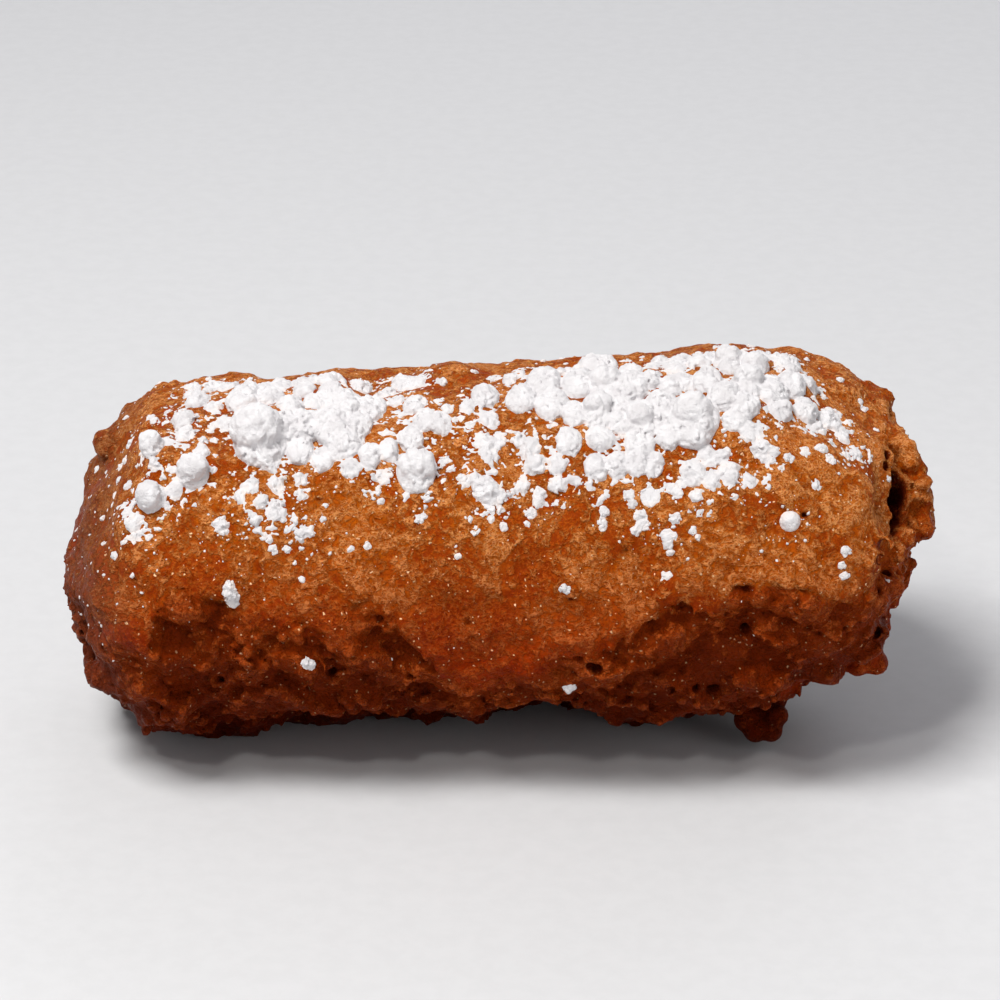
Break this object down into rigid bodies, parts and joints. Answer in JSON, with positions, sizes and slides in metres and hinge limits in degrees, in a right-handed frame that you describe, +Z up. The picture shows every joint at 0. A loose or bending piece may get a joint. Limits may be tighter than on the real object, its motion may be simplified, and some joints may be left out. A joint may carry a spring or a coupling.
{
  "type": "deep-fried sponge cake",
  "caption": "Stubby log of sponge cake fried in craggy golden batter, dusted with clumped powdered sugar.",
  "frame": {"origin": "middle of the bounding box's base, on the surface that the cake rests on", "axes": "+X along the cake towards its thicker, torn end; +Y to the back, away from the sugared front shoulder; +Z up"},
  "size_m": [0.114, 0.0556, 0.0557],
  "materials": {
    "fried_crust": "craggy fried batter, golden to deep brown, oily and slightly glossy",
    "powdered_sugar": "matte white powder in soft clumps"
  },
  "bodies": {
    "root": {"fried_cake": "fried_crust", "sugar_drift_left": "powdered_sugar", "sugar_drift_right": "powdered_sugar"}
  },
  "joints": []
}
